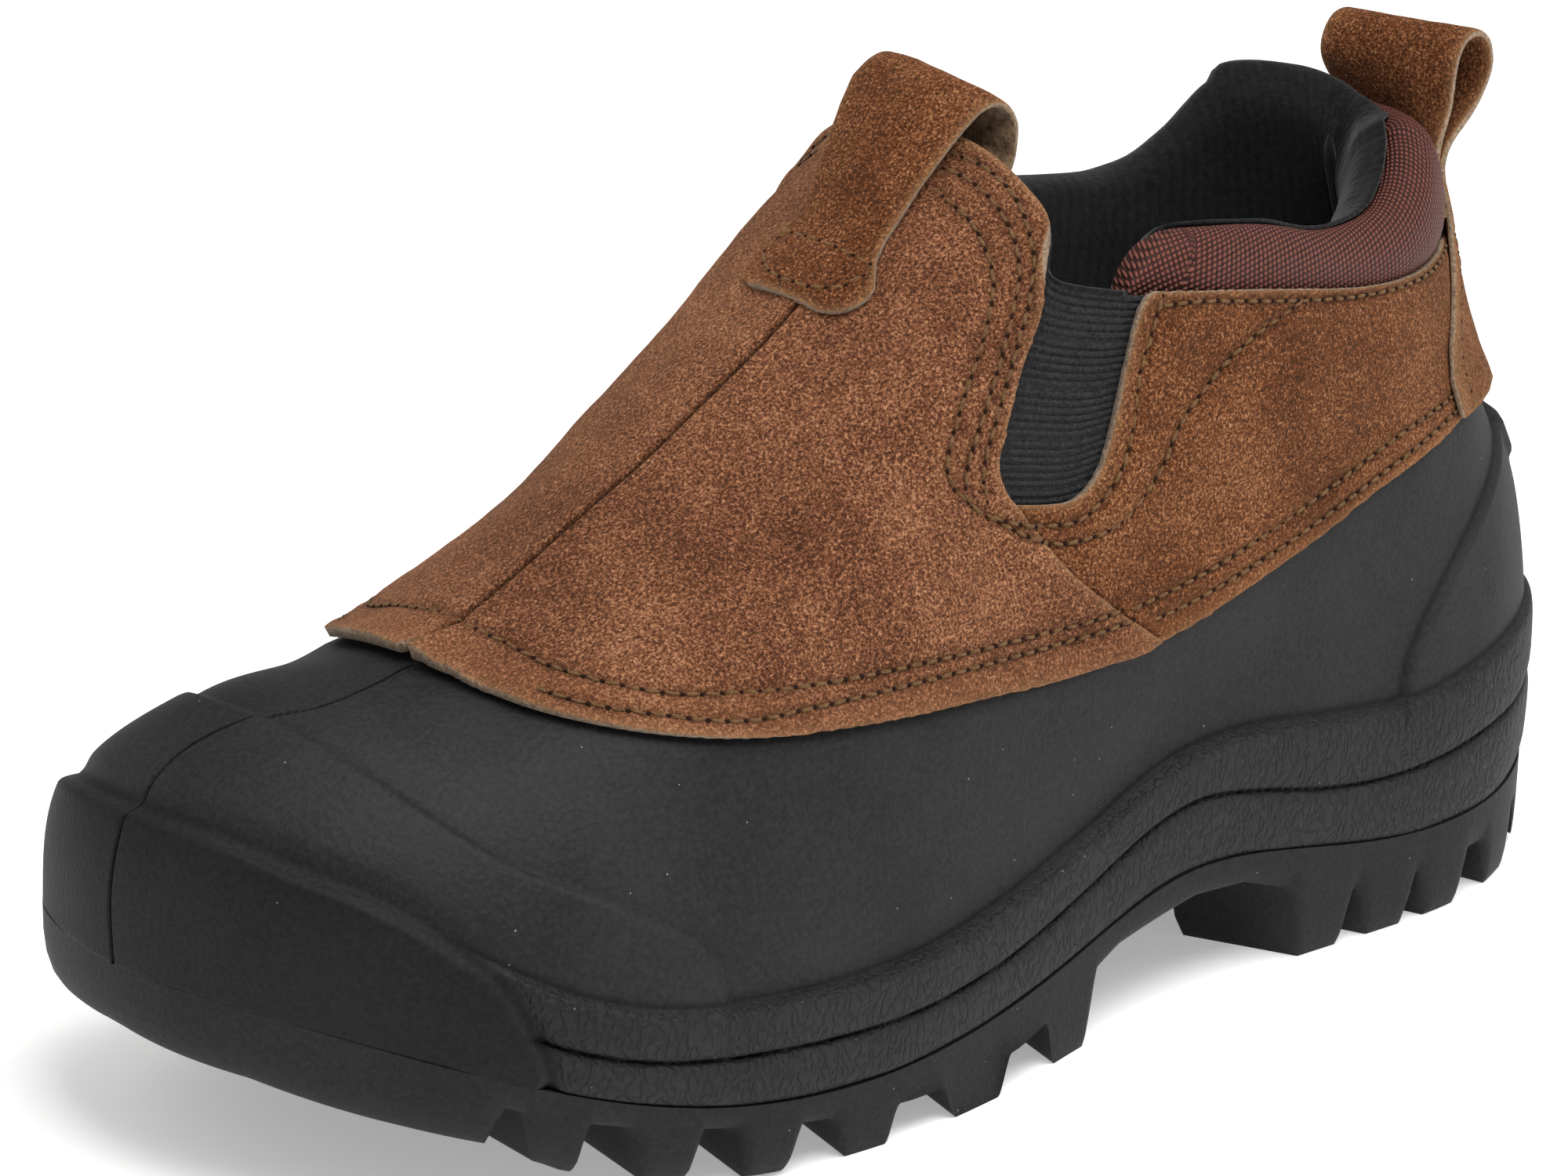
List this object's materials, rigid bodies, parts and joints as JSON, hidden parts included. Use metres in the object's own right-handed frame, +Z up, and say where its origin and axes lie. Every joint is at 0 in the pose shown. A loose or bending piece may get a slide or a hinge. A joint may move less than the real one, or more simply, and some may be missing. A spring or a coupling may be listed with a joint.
{
  "type": "slip-on snow boot",
  "caption": "Low pull-on winter boot for the left foot: moulded rubber shell and lugged sole, suede vamp and quarters, elastic side gores, padded collar and pull loops.",
  "frame": {"origin": "middle of the bounding box in plan, on the ground under the lugs", "axes": "+X towards the toe, +Y towards the outer (little toe) side of this left boot, +Z up"},
  "size_m": [0.3066, 0.1136, 0.1655],
  "materials": {
    "sole_rubber": "matte moulded rubber",
    "shell_rubber": "satin moulded rubber, stippled band",
    "footbed_foam": "fabric faced foam",
    "suede": "brown suede with a short nap",
    "elastic": "ribbed elastic",
    "collar_textile": "close woven textile over padding",
    "strap_suede": "brown suede strap"
  },
  "bodies": {
    "root": {"outsole": "sole_rubber", "rubber_shell": "shell_rubber", "insole": "footbed_foam", "suede_upper": "suede", "gore_lateral": "elastic", "gore_medial": "elastic", "padded_collar": "collar_textile", "front_pull_loop": "strap_suede", "rear_pull_loop": "strap_suede"}
  },
  "joints": []
}
